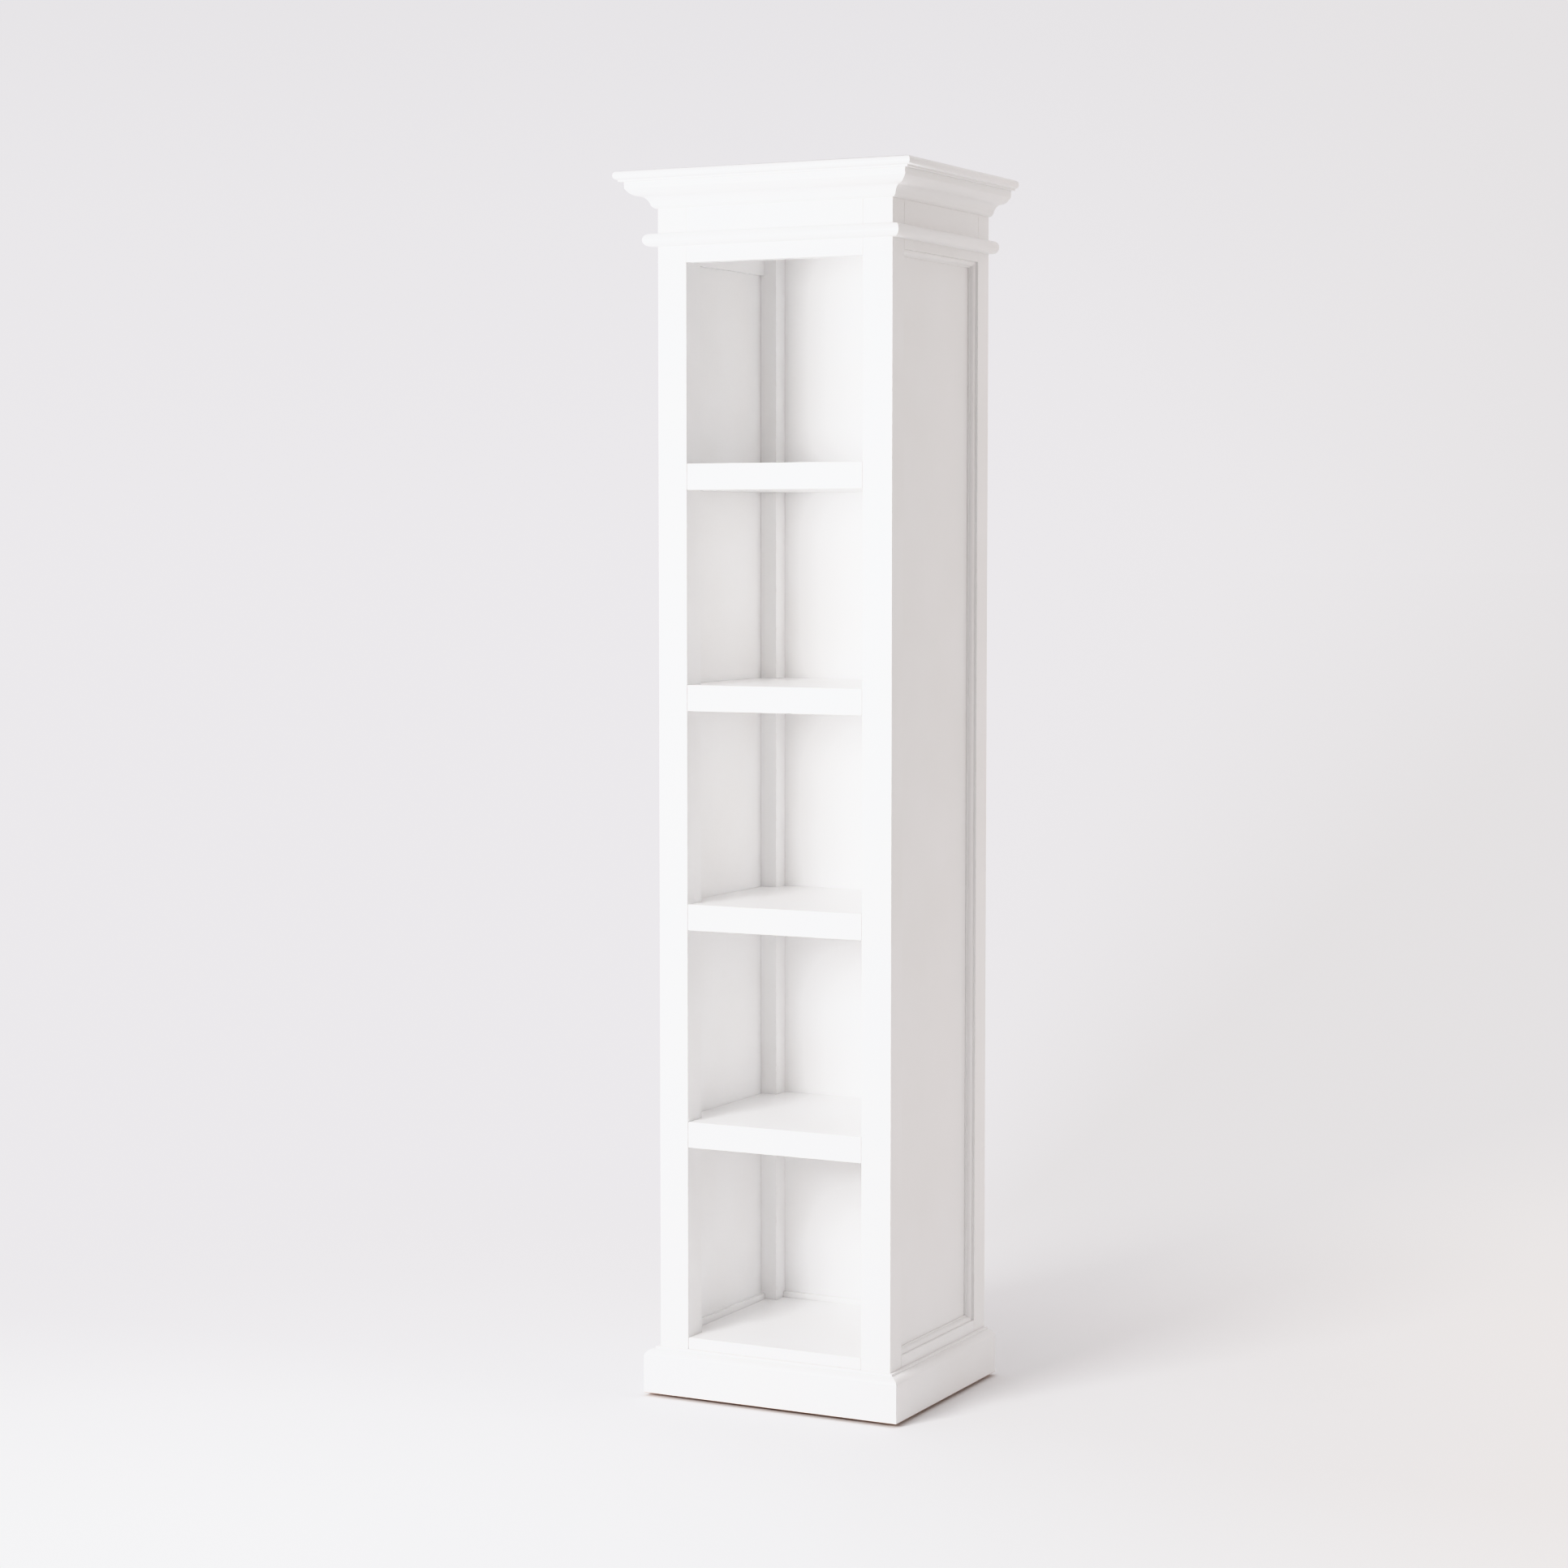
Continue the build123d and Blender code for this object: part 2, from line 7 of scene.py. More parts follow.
import bmesh
import bpy
from mathutils import Euler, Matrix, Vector


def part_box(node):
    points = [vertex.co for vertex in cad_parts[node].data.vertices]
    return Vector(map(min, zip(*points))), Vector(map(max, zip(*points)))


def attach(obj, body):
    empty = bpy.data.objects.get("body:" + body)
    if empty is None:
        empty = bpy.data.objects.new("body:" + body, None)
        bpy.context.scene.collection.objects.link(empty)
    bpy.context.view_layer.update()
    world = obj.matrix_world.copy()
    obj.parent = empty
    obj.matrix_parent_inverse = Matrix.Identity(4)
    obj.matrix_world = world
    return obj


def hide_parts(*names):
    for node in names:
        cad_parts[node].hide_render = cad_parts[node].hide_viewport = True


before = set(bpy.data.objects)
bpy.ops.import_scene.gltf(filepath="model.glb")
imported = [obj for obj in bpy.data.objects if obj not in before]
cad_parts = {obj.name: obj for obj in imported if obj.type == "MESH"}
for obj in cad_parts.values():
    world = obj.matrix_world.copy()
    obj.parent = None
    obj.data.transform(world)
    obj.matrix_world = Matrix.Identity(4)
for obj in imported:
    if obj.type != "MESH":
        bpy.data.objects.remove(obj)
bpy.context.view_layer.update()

# Looks of a tall open bookcase in satin white paint: softened boards, mitred mouldings and a pale studio.
# Lengths are in metres. A pattern's cells are so many to the metre, along and across the grain where there
# are two numbers. The other pairs in a finish are the ends of the range in which one tone eases into another.

Point = tuple[float, float]
Triple = tuple[float, float, float]
Placer = Callable[[float, float, float], Vector]
Material = bpy.types.Material
Socket = bpy.types.NodeSocket
Mesh = bmesh.types.BMesh
MM = 0.001
BLACK: Triple = (0.0, 0.0, 0.0)
log = logging.getLogger("bookcase")


class Grain(Enum):
    """The direction that a board's grain and brush strokes run in."""

    ALONG_X = 0
    ALONG_Y = 1
    ALONG_Z = 2


class Slot(Enum):
    """Names of material slots for the kinds of finish; each piece is handed one, which nothing reads."""

    FRAME = "painted_frame"
    PANEL = "painted_panel"
    MOULDING = "painted_moulding"
    BOARD = "painted_board"
    GLIDE = "glide_plastic"


class Side(Enum):
    """Which side of the case a piece is on, seen from the front."""

    LEFT = -1
    RIGHT = 1

    @property
    def word(self) -> str:
        """The side's name as node names have it."""
        return self.name.lower()


@dataclass(frozen=True)
class Block:
    """The box of a CAD node at rest."""

    low: Vector
    high: Vector

    @classmethod
    def of(cls, node: str) -> "Block":
        """The box of the node with that name."""
        low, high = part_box(node)
        return cls(low, high)


# ---------------------------------------------------------------- node graphs


class Graph:
    """The node tree of a material or a world, with short calls to add and link nodes."""

    def __init__(self, owner: Material | bpy.types.World) -> None:
        """Take up the tree that comes with the owner, and its one shader.

        Args:
            owner: the material or world.
        """
        owner.use_nodes = True
        self.nodes = owner.node_tree.nodes
        self.links = owner.node_tree.links
        self.shader = next(n for n in self.nodes if n.type in ("BSDF_PRINCIPLED", "BACKGROUND"))

    def add(self, kind: str, **settings: object) -> bpy.types.Node:
        """Add a node of a kind and set its plain attributes.

        Args:
            kind: the node's type without the ShaderNode prefix.
            **settings: attribute values, such as operation="ADD".

        Returns:
            The new node.
        """
        node = self.nodes.new("ShaderNode" + kind)
        for key, value in settings.items():
            setattr(node, key, value)
        return node

    def join(self, source: Socket, target: Socket) -> None:
        """Link one socket to another."""
        self.links.new(source, target)

    def place(self, scale: Sequence[float]) -> Socket:
        """Object coordinates in metres, scaled along each axis.

        Args:
            scale: the factor along X, Y and Z.

        Returns:
            The vector socket.
        """
        coordinates = self.add("TexCoord")
        mapping = self.add("Mapping")
        mapping.inputs["Scale"].default_value = tuple(scale)
        self.join(coordinates.outputs["Object"], mapping.inputs["Vector"])
        shift = self.add("VectorMath", operation="ADD")
        self.join(mapping.outputs["Vector"], shift.inputs[0])
        self.join(self.seed(), shift.inputs[1])
        return shift.outputs["Vector"]

    def seed(self) -> Socket:
        """A shift that differs from board to board, from the mesh's board_seed."""
        attribute = self.add("Attribute", attribute_name="board_seed")
        return attribute.outputs["Vector"]

    def noise(self, where: Socket, scale: float, detail: float = 2.0, roughness: float = 0.5) -> Socket:
        """Noise from 0 to 1 about 0.5.

        Args:
            where: the coordinates.
            scale: cells to a unit of the coordinates.
            detail: octaves of finer noise.
            roughness: weight of the finer octaves.

        Returns:
            The factor socket.
        """
        node = self.add("TexNoise")
        node.inputs["Scale"].default_value = scale
        node.inputs["Detail"].default_value = detail
        node.inputs["Roughness"].default_value = roughness
        self.join(where, node.inputs["Vector"])
        return node.outputs["Fac"]

    def streaks(self, grain: Grain, cells: Point, detail: float = 2.0, roughness: float = 0.5) -> Socket:
        """Noise that is drawn out along the grain.

        Args:
            grain: the grain's direction.
            cells: cells per metre along it and across it.
            detail: octaves of finer noise.
            roughness: weight of the finer octaves.

        Returns:
            The factor socket.
        """
        scale = [cells[1]] * 3
        scale[grain.value] = cells[0]
        return self.noise(self.place(scale), 1.0, detail, roughness)

    def spots(self, cells: float, detail: float = 2.0, roughness: float = 0.5) -> Socket:
        """Noise with so many cells per metre every way."""
        return self.noise(self.place((1.0, 1.0, 1.0)), cells, detail, roughness)

    def ramp(self, value: Socket, low: float, high: float, out_low: float = 0.0,
             out_high: float = 1.0) -> Socket:
        """Map a range of values onto another, clamped.

        Args:
            value: the input.
            low: input value that gives out_low.
            high: input value that gives out_high.
            out_low: result at low.
            out_high: result at high.

        Returns:
            The result socket.
        """
        node = self.add("MapRange")
        limits = {"From Min": low, "From Max": high, "To Min": out_low, "To Max": out_high}
        for key, number in limits.items():
            node.inputs[key].default_value = number
        self.join(value, node.inputs["Value"])
        return node.outputs["Result"]

    def math(self, operation: str, first: Socket, second: Socket) -> Socket:
        """One step of arithmetic on two values.

        Args:
            operation: the Math node's operation.
            first: the first value.
            second: the second value.

        Returns:
            The result socket.
        """
        node = self.add("Math", operation=operation)
        self.join(first, node.inputs[0])
        self.join(second, node.inputs[1])
        return node.outputs["Value"]

    def blend(self, factor: Socket, first: Socket | Sequence[float],
              second: Socket | Sequence[float]) -> Socket:
        """Mix two colours.

        Args:
            factor: share of the second colour.
            first: the colour at 0, a socket or red, green and blue.
            second: the colour at 1, given in the same way.

        Returns:
            The colour socket.
        """
        node = self.add("Mix", data_type="RGBA")
        self.join(factor, node.inputs["Factor"])
        for key, colour in (("A", first), ("B", second)):
            if isinstance(colour, Socket):
                self.join(colour, node.inputs[key])
            else:
                node.inputs[key].default_value = (*colour, 1.0)
        return node.outputs["Result"]

    def bump(self, height: Socket, depth: float, under: Socket | None = None) -> Socket:
        """Raise the surface by a height map.

        Args:
            height: heights from 0 to 1.
            depth: metres that a height of 1 stands for.
            under: the normal to build on, if any.

        Returns:
            The normal socket.
        """
        node = self.add("Bump")
        node.inputs["Strength"].default_value = 1.0
        node.inputs["Distance"].default_value = depth
        self.join(height, node.inputs["Height"])
        if under is not None:
            self.join(under, node.inputs["Normal"])
        return node.outputs["Normal"]

    def set(self, **values: object) -> None:
        """Set shader sockets by name, with underscores for spaces."""
        for key, value in values.items():
            self.shader.inputs[key.replace("_", " ")].default_value = value

    def feed(self, **sockets: Socket) -> None:
        """Link sockets to shader inputs by name, with underscores for spaces."""
        for key, socket in sockets.items():
            self.join(socket, self.shader.inputs[key.replace("_", " ")])


@dataclass(frozen=True)
class Finish:
    """A finish that is mixed once for each direction of the grain."""

    name: str

    def material(self, grain: Grain) -> Material:
        """The finish with its grain one way.

        Args:
            grain: direction of the grain and of the strokes.

        Returns:
            The material.
        """
        name = f"{self.name}_{grain.name.lower()}"
        made = bpy.data.materials.get(name)
        if made is None:
            made = bpy.data.materials.new(name)
            self.mix(Graph(made), grain)
        return made

    def mix(self, g: Graph, grain: Grain) -> None:
        """Lay out the nodes, which each finish does in its own way."""
        raise NotImplementedError


@dataclass(frozen=True)
class SatinPaint(Finish):
    """Satin white paint on wood: brush strokes along the grain, fine peel and slightly thin arrises."""

    white: Triple = (0.915, 0.909, 0.908)
    cream: Triple = (0.897, 0.887, 0.880)
    rubbed: Triple = (0.660, 0.600, 0.540)
    roughness: float = 0.40
    smoother: float = 0.05
    rougher: float = 0.06
    uneven: float = 0.03
    wear: float = 0.25
    least_wear: float = 0.13
    stroke_cells: Point = (9.0, 420.0)
    stroke_depth: float = 0.000045
    pore_cells: Point = (34.0, 1300.0)
    grain_depth: float = 0.00006
    wave_cells: Point = (2.2, 9.0)
    wave_depth: float = 0.0006
    peel_cells: float = 900.0
    peel_depth: float = 0.00003
    cloud_cells: float = 5.5
    patch_cells: float = 60.0
    cream_clouds: Point = (0.35, 0.7)
    cream_strokes: Point = (0.52, 0.80)
    cream_most: float = 0.35
    worn_patches: Point = (0.50, 0.66)
    dull_strokes: Point = (0.30, 0.75)
    dull_clouds: Point = (0.3, 0.7)
    open_pores: Point = (0.62, 0.74)

    def mix(self, g: Graph, grain: Grain) -> None:
        """Lay out the paint's nodes.

        Args:
            g: the material's graph.
            grain: direction of the grain and of the strokes.
        """
        strokes = g.streaks(grain, self.stroke_cells, detail=3.0, roughness=0.6)
        pores = g.streaks(grain, self.pore_cells, detail=1.0)
        peel = g.spots(self.peel_cells, detail=1.0)
        cloud = g.spots(self.cloud_cells)
        wave = g.streaks(grain, self.wave_cells, detail=1.0)
        arris = g.add("Attribute", attribute_name="arris").outputs["Fac"]
        patch = g.spots(self.patch_cells, detail=3.0, roughness=0.65)

        tone = g.blend(g.ramp(cloud, *self.cream_clouds), self.white, self.cream)
        tone = g.blend(g.ramp(strokes, *self.cream_strokes, 0.0, self.cream_most), tone, self.cream)
        worn = g.ramp(patch, *self.worn_patches, self.least_wear * self.wear, self.wear)
        tone = g.blend(g.math("MULTIPLY", worn, arris), tone, self.rubbed)

        least, most = self.roughness - self.smoother, self.roughness + self.rougher
        gloss = g.ramp(strokes, *self.dull_strokes, least, most)
        gloss = g.math("ADD", gloss, g.ramp(cloud, *self.dull_clouds, -self.uneven, self.uneven))
        normal = g.bump(wave, self.wave_depth)
        normal = g.bump(strokes, self.stroke_depth, normal)
        normal = g.bump(g.ramp(pores, *self.open_pores), -self.grain_depth, normal)
        normal = g.bump(peel, self.peel_depth, normal)
        g.feed(Base_Color=tone, Roughness=gloss, Normal=normal)
        g.set(IOR=1.47, Coat_Weight=0.10, Coat_Roughness=0.22)


@dataclass(frozen=True)
class RawWood(Finish):
    """Unfinished reddish hardwood with growth bands and open pores."""

    early: Triple = (0.56, 0.37, 0.26)
    late: Triple = (0.40, 0.23, 0.15)
    pore: Triple = (0.17, 0.085, 0.05)
    roughness: float = 0.72
    smoother: float = 0.08
    rougher: float = 0.1
    band_cells: Point = (3.0, 150.0)
    pore_cells: Point = (40.0, 1500.0)
    pore_depth: float = 0.00015
    fibre_cells: Point = (20.0, 2600.0)
    fibre_depth: float = 0.00006
    late_bands: Point = (0.38, 0.62)
    dark_pores: Point = (0.60, 0.70)
    darkest: float = 0.8
    open_pores: Point = (0.58, 0.72)
    dull_fibres: Point = (0.3, 0.7)

    def mix(self, g: Graph, grain: Grain) -> None:
        """Lay out the wood's nodes.

        Args:
            g: the material's graph.
            grain: direction of the grain.
        """
        bands = g.streaks(grain, self.band_cells, detail=4.0, roughness=0.6)
        pores = g.streaks(grain, self.pore_cells, detail=1.0)
        fibres = g.streaks(grain, self.fibre_cells, detail=1.0)
        tone = g.blend(g.ramp(bands, *self.late_bands), self.early, self.late)
        tone = g.blend(g.ramp(pores, *self.dark_pores, 0.0, self.darkest), tone, self.pore)
        least, most = self.roughness - self.smoother, self.roughness + self.rougher
        gloss = g.ramp(fibres, *self.dull_fibres, least, most)
        normal = g.bump(g.ramp(pores, *self.open_pores), -self.pore_depth)
        normal = g.bump(fibres, self.fibre_depth, normal)
        g.feed(Base_Color=tone, Roughness=gloss, Normal=normal)
        g.set(IOR=1.5)


@dataclass(frozen=True)
class DrawnSteel(Finish):
    """Bright drawn wire with die lines and a little tarnish."""

    bright: Triple = (0.60, 0.60, 0.61)
    tarnish: Triple = (0.33, 0.31, 0.29)
    roughness: Point = (0.24, 0.42)
    line_cells: Point = (60.0, 5000.0)
    line_depth: float = 0.00002
    stain_cells: float = 220.0
    tarnished: Point = (0.5, 0.72)
    dull_lines: Point = (0.3, 0.7)

    def mix(self, g: Graph, grain: Grain) -> None:
        """Lay out the wire's nodes.

        Args:
            g: the material's graph.
            grain: direction that the wire was drawn in.
        """
        lines = g.streaks(grain, self.line_cells)
        stains = g.spots(self.stain_cells, detail=3.0)
        tone = g.blend(g.ramp(stains, *self.tarnished), self.bright, self.tarnish)
        gloss = g.ramp(lines, *self.dull_lines, *self.roughness)
        g.feed(Base_Color=tone, Roughness=gloss, Normal=g.bump(lines, self.line_depth))
        g.set(Metallic=1.0)


@dataclass(frozen=True)
class MouldedPlastic:
    """Matt brown moulded plastic with a fine spark texture and scuffs."""

    name: str
    body: Triple = (0.135, 0.085, 0.055)
    scuff: Triple = (0.26, 0.20, 0.16)
    roughness: Point = (0.48, 0.66)
    spark_cells: float = 2400.0
    spark_depth: float = 0.00004
    wear_cells: float = 160.0
    scuffed: Point = (0.52, 0.75)
    dull_scuffs: Point = (0.4, 0.7)

    def material(self) -> Material:
        """The plastic.

        Returns:
            The material.
        """
        made = bpy.data.materials.new(self.name)
        g = Graph(made)
        spark = g.spots(self.spark_cells)
        wear = g.spots(self.wear_cells, detail=3.0)
        tone = g.blend(g.ramp(wear, *self.scuffed), self.body, self.scuff)
        gloss = g.ramp(wear, *self.dull_scuffs, *self.roughness)
        g.feed(Base_Color=tone, Roughness=gloss, Normal=g.bump(spark, self.spark_depth))
        g.set(IOR=1.49)
        return made


# ---------------------------------------------------------------- mesh building


def prism(outline: Sequence[Point], run: Grain, low: float, high: float) -> Mesh:
    """A straight board of any outline.

    Args:
        outline: corners in the plane across the run, in X, Y, Z order of the two other axes.
        run: the axis the board runs along.
        low: where it starts.
        high: where it ends.

    Returns:
        The closed mesh.
    """
    rings = []
    for end in (low, high):
        ring = []
        for point in outline:
            place = list(point)
            place.insert(run.value, end)
            ring.append(Vector(place))
        rings.append(ring)
    return loft(rings)


def loft(rings: Sequence[Sequence[Vector]]) -> Mesh:
    """A closed body through rings of equal count, capped at both ends.

    Args:
        rings: closed loops of points, one after another.

    Returns:
        The mesh, with its normals outwards.
    """
    bm = bmesh.new()
    loops = [[bm.verts.new(point) for point in ring] for ring in rings]
    count = len(loops[0])
    for here, there in zip(loops, loops[1:]):
        for i in range(count):
            bm.faces.new((here[i], here[(i + 1) % count], there[(i + 1) % count], there[i]))
    bm.faces.new(loops[0])
    bm.faces.new(loops[-1])
    bmesh.ops.recalc_face_normals(bm, faces=bm.faces)
    return bm


def soften(bm: Mesh, radius: float, sharper_than: float = 50.0, segments: int = 3) -> None:
    """Round the arrises of a board and mark the rounded faces in the arris attribute.

    Args:
        bm: the mesh.
        radius: radius of the rounding.
        sharper_than: edges that turn by less than this, in degrees, are left.
        segments: faces across a rounding.
    """
    layer = bm.faces.layers.float.get("arris") or bm.faces.layers.float.new("arris")
    least = math.radians(sharper_than)
    edges = [edge for edge in bm.edges if edge.is_manifold and edge.calc_face_angle_signed() > least]
    done = bmesh.ops.bevel(bm, geom=edges, offset=radius, offset_type="OFFSET", segments=segments,
                           profile=0.5, affect="EDGES", clamp_overlap=True)
    for face in done["faces"]:
        face[layer] = 1.0


def arc(start: Point, middle: Point, end: Point, steps: int = 8) -> list[Point]:
    """Points on the circle through three points.

    Args:
        start: the first point.
        middle: a point between.
        end: the last point.
        steps: number of equal turns.

    Returns:
        The points, both ends included.
    """
    (ax, ay), (bx, by), (cx, cy) = start, middle, end
    span = 2 * (ax * (by - cy) + bx * (cy - ay) + cx * (ay - by))
    a2, b2, c2 = ax * ax + ay * ay, bx * bx + by * by, cx * cx + cy * cy
    ox = (a2 * (by - cy) + b2 * (cy - ay) + c2 * (ay - by)) / span
    oy = (a2 * (cx - bx) + b2 * (ax - cx) + c2 * (bx - ax)) / span
    radius = math.hypot(ax - ox, ay - oy)
    first, mid, last = (math.atan2(y - oy, x - ox) for x, y in (start, middle, end))
    turn = (last - first) % math.tau
    if (mid - first) % math.tau > turn:
        turn -= math.tau
    turns = [first + turn * i / steps for i in range(steps + 1)]
    return [(ox + radius * math.cos(at), oy + radius * math.sin(at)) for at in turns]


def rectangle(low: Point, high: Point) -> list[Point]:
    """The four corners between two opposite ones."""
    return [low, (high[0], low[1]), high, (low[0], high[1])]


def quarter(start: Point, corner: Point, end: Point) -> list[Point]:
    """The quarter round in a square corner.

    Args:
        start: where it starts.
        corner: the square corner.
        end: where it ends.

    Returns:
        The points, both ends included.
    """
    inwards = 1 - math.sqrt(0.5)
    middle = tuple(at + inwards * (a - at + b - at) for a, at, b in zip(start, corner, end))
    return arc(start, middle, end, 6)


def circle(radius: float, steps: int) -> list[Point]:
    """Points evenly round the origin."""
    turns = [math.tau * i / steps for i in range(steps)]
    return [(radius * math.cos(turn), radius * math.sin(turn)) for turn in turns]


def enter(name: str, data: bpy.types.ID) -> bpy.types.Object:
    """Make an object of a mesh, light or camera and put it in the scene.

    Args:
        name: the object's name.
        data: the mesh, light or camera.

    Returns:
        The object.
    """
    obj = bpy.data.objects.new(name, data)
    bpy.context.scene.collection.objects.link(obj)
    return obj


def stand(name: str, bm: Mesh, material: Material) -> bpy.types.Object:
    """Make an object of a mesh and its finish and put it in the scene.

    Args:
        name: the object's name.
        bm: its mesh, which is freed.
        material: its finish.

    Returns:
        The object.
    """
    mesh = bpy.data.meshes.new(name)
    bm.to_mesh(mesh)
    bm.free()
    mesh.materials.append(material)
    return enter(name, mesh)


@dataclass
class Workshop:
    """Turns meshes into finished pieces: object, finish, body and the CAD nodes it stands for, which it
    hides.
    """

    made: int = 0
    seed_steps: Triple = (2.39996, 1.61803, 3.14159)
    seed_range: float = 7.0
    large_face_weight: int = 100

    def seed(self, mesh: bpy.types.Mesh) -> None:
        """Store a shift of the pattern for this board, the same at every point.

        Args:
            mesh: the board's mesh.
        """
        self.made += 1
        shift = [math.fmod(self.made * step, self.seed_range) for step in self.seed_steps]
        layer = mesh.attributes.new("board_seed", "FLOAT_VECTOR", "POINT")
        layer.data.foreach_set("vector", shift * len(mesh.vertices))

    def piece(self, name: str, bm: Mesh, material: Material, slot: Slot, node: str) -> bpy.types.Object:
        """Finish one piece.

        Args:
            name: the piece's name.
            bm: its mesh, which is freed.
            material: its finish.
            slot: not used.
            node: the CAD node it stands for.

        Returns:
            The object.
        """
        obj = stand(name, bm, material)
        self.seed(obj.data)
        for polygon in obj.data.polygons:
            polygon.use_smooth = True
        even = obj.modifiers.new("even_normals", "WEIGHTED_NORMAL")
        even.weight = self.large_face_weight
        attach(obj, "root")
        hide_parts(node)
        log.info("%s: %d faces", name, len(obj.data.polygons))
        return obj

    def painted(self, node: str, bm: Mesh, paint: SatinPaint, grain: Grain, slot: Slot) -> bpy.types.Object:
        """Finish a painted piece that stands for a CAD node and is named for it."""
        return self.piece(f"{node}_painted", bm, paint.material(grain), slot, node)

    def dress(self, node: str, material: Material) -> None:
        """Give a CAD node that stays its finish.

        Args:
            node: the node's name.
            material: the finish.
        """
        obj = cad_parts[node]
        obj.data.materials.clear()
        obj.data.materials.append(material)
        log.info("%s: carried over", node)


# ---------------------------------------------------------------- the case


@dataclass
class CarcassFrame:
    """Four rebated posts and the rails that tie them."""

    shop: Workshop
    paint: SatinPaint
    arris: float = 0.9 * MM
    joint_arris: float = 0.45 * MM
    crack: float = 0.28 * MM

    def build(self) -> None:
        """Make every post and rail."""
        for side in Side:
            for row in ("front", "rear"):
                self.post(row, side)
            self.side_rail("top", side)
            self.side_rail("bottom", side)
        self.front_rail("rail_front_top")
        self.front_rail("rail_front_bottom")
        self.back_rail("rail_back_top", -1)
        self.back_rail("rail_back_bottom", 1)

    def stile_edges(self) -> tuple[float, float]:
        """Front and rear limit of the side recess, where the beads meet the posts."""
        return Block.of("side_bead_front_right").low.y, Block.of("side_bead_rear_right").high.y

    def post(self, row: str, side: Side) -> None:
        """One post, with its side rebate and, at the rear, its back rebate.

        Args:
            row: front or rear.
            side: the side it stands on.
        """
        box = Block.of(f"post_{row}_right")
        rebate_x = Block.of("side_panel_right").low.x
        start, end = self.stile_edges()
        inner, outer = box.low.x, box.high.x
        if row == "front":
            outline = [(inner, box.low.y), (outer, box.low.y), (outer, start), (rebate_x, start),
                       (rebate_x, box.high.y), (inner, box.high.y)]
        else:
            back_x = Block.of("back_bead_right").high.x
            back_y = Block.of("back_panel").low.y
            outline = [(inner, box.low.y), (rebate_x, box.low.y), (rebate_x, end), (outer, end),
                       (outer, box.high.y), (back_x, box.high.y), (back_x, back_y), (inner, back_y)]
        outline = [(side.value * x, y) for x, y in outline]
        bm = prism(outline, Grain.ALONG_Z, box.low.z, box.high.z)
        soften(bm, self.arris)
        name = f"post_{row}_{side.word}"
        self.shop.painted(name, bm, self.paint, Grain.ALONG_Z, Slot.FRAME)

    def side_rail(self, level: str, side: Side) -> None:
        """A side rail with the inner lip behind the panel.

        Args:
            level: top or bottom.
            side: the side it is on.
        """
        box = Block.of(f"rail_side_{level}_right")
        rebate_x = Block.of("side_panel_right").low.x
        bead = Block.of(f"side_bead_{level}_right")
        start, end = self.stile_edges()
        front, rear = Block.of("post_front_right").high.y, Block.of("post_rear_right").low.y
        low, high = (bead.high.z, box.high.z) if level == "top" else (box.low.z, bead.low.z)
        bm = self.layer((rebate_x, box.high.x), (start, end), (low, high), Grain.ALONG_Y)
        self.layer((box.low.x, rebate_x), (front, rear), (box.low.z, box.high.z), Grain.ALONG_Y, bm)
        if side is Side.LEFT:
            bmesh.ops.scale(bm, vec=(-1.0, 1.0, 1.0), verts=bm.verts)
            bmesh.ops.reverse_faces(bm, faces=bm.faces)
        name = f"rail_side_{level}_{side.word}"
        self.shop.painted(name, bm, self.paint, Grain.ALONG_Y, Slot.FRAME)

    def front_rail(self, node: str) -> None:
        """A front rail between the posts.

        Args:
            node: its CAD node.
        """
        box = Block.of(node)
        end = Block.of("post_front_right").low.x - self.crack
        section = rectangle((box.low.y, box.low.z), (box.high.y, box.high.z))
        bm = prism(section, Grain.ALONG_X, -end, end)
        soften(bm, self.joint_arris)
        self.shop.painted(node, bm, self.paint, Grain.ALONG_X, Slot.FRAME)

    def back_rail(self, node: str, lip_way: int) -> None:
        """A back rail with the lip that the back panel lies against.

        Args:
            node: its CAD node.
            lip_way: 1 where the lip stands up, -1 where it hangs down.
        """
        box = Block.of(node)
        panel_y = Block.of("back_panel").low.y
        bead = Block.of("back_bead_bottom" if lip_way > 0 else "back_bead_top")
        low, high = (box.low.z, bead.low.z) if lip_way > 0 else (bead.high.z, box.high.z)
        inner, lap = Block.of("post_rear_right").low.x, Block.of("back_bead_right").high.x
        bm = self.layer((-lap, lap), (panel_y, box.high.y), (low, high), Grain.ALONG_X)
        self.layer((-inner, inner), (box.low.y, panel_y), (box.low.z, box.high.z), Grain.ALONG_X, bm)
        self.shop.painted(node, bm, self.paint, Grain.ALONG_X, Slot.FRAME)

    def layer(self, x: Point, y: Point, z: Point, run: Grain,
              joined: Mesh | None = None) -> Mesh:
        """One of the two boards of a rebated rail, a crack short of its limits at both ends.

        Args:
            x: its limits along X.
            y: its limits along Y.
            z: its limits along Z.
            run: the axis it runs along.
            joined: the mesh to add it to; a new one if left out.

        Returns:
            The mesh with the board in it.
        """
        limits = [x, y, z]
        low, high = limits.pop(run.value)
        outline = rectangle(*zip(*limits))
        board = prism(outline, run, low + self.crack, high - self.crack)
        soften(board, self.joint_arris)
        if joined is None:
            return board
        part = bpy.data.meshes.new("layer")
        board.to_mesh(part)
        board.free()
        joined.from_mesh(part)
        bpy.data.meshes.remove(part)
        return joined


